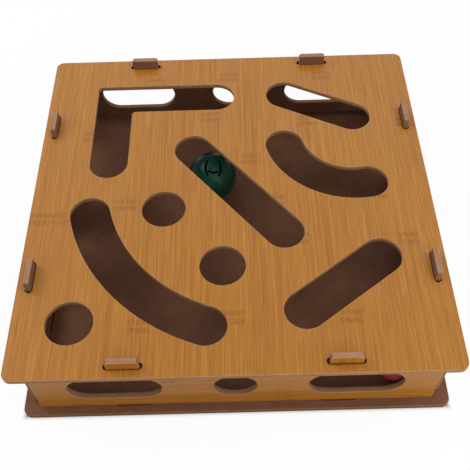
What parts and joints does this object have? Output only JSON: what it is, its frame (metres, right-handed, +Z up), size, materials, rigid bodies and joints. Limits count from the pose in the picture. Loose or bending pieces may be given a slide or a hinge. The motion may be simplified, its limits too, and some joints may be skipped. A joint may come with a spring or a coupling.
{
  "type": "cat puzzle box",
  "caption": "Low square flat-pack box with curved slots and round paw holes in its lift-off top and open slots in its walls, holding loose jingle balls for a cat to bat.",
  "frame": {"origin": "middle of the base's underside", "axes": "+Z up, front of the box towards -Y, +X to the right"},
  "size_m": [0.3, 0.3, 0.0705],
  "materials": {
    "fibreboard": "raw medium density fibreboard, matt",
    "bamboo_print": "satin bamboo-print film",
    "green_plastic": "glossy moulded plastic",
    "red_plastic": "glossy moulded plastic",
    "bell_metal": "plated sheet steel",
    "pellet_steel": "bare steel"
  },
  "bodies": {
    "box": {"base_board": "fibreboard", "base_film": "bamboo_print", "front_wall": "fibreboard", "front_film": "bamboo_print", "right_wall": "fibreboard", "right_film": "bamboo_print", "back_wall": "fibreboard", "back_film": "bamboo_print", "left_wall": "fibreboard", "left_film": "bamboo_print"},
    "top": {"top_board": "fibreboard", "top_film": "bamboo_print"},
    "green_jingle": {"green_bell": "bell_metal", "green_pellet": "pellet_steel"},
    "green_ball": {"green_ball_lower": "green_plastic", "green_ball_upper": "green_plastic"},
    "red_jingle": {"red_bell": "bell_metal", "red_pellet": "pellet_steel"},
    "red_ball": {"red_ball_lower": "red_plastic", "red_ball_upper": "red_plastic"}
  },
  "joints": [
    {"name": "top_lift", "type": "slide", "parent": "box", "child": "top", "axis": [0, 0, 1], "range_m": [0, 0.04]},
    {"name": "green_ball_travel", "type": "slide", "parent": "box", "child": "green_jingle", "axis": [1, 0, 0], "range_m": [-0.103, 0.135]},
    {"name": "green_ball_roll", "type": "hinge", "parent": "green_jingle", "child": "green_ball", "pos_m": [-0.016, 0.048, 0.0243], "axis": [0, 1, 0], "range_deg": [-297, 388]},
    {"name": "red_ball_travel", "type": "slide", "parent": "box", "child": "red_jingle", "axis": [1, 0, 0], "range_m": [-0.233, 0.005]},
    {"name": "red_ball_roll", "type": "hinge", "parent": "red_jingle", "child": "red_ball", "pos_m": [0.114, -0.1185, 0.0243], "axis": [0, 1, 0], "range_deg": [-669, 16]}
  ],
  "couplings": [
    {"joint": "green_ball_roll", "follows": "green_ball_travel", "rad_per_m": 50},
    {"joint": "red_ball_roll", "follows": "red_ball_travel", "rad_per_m": 50}
  ]
}
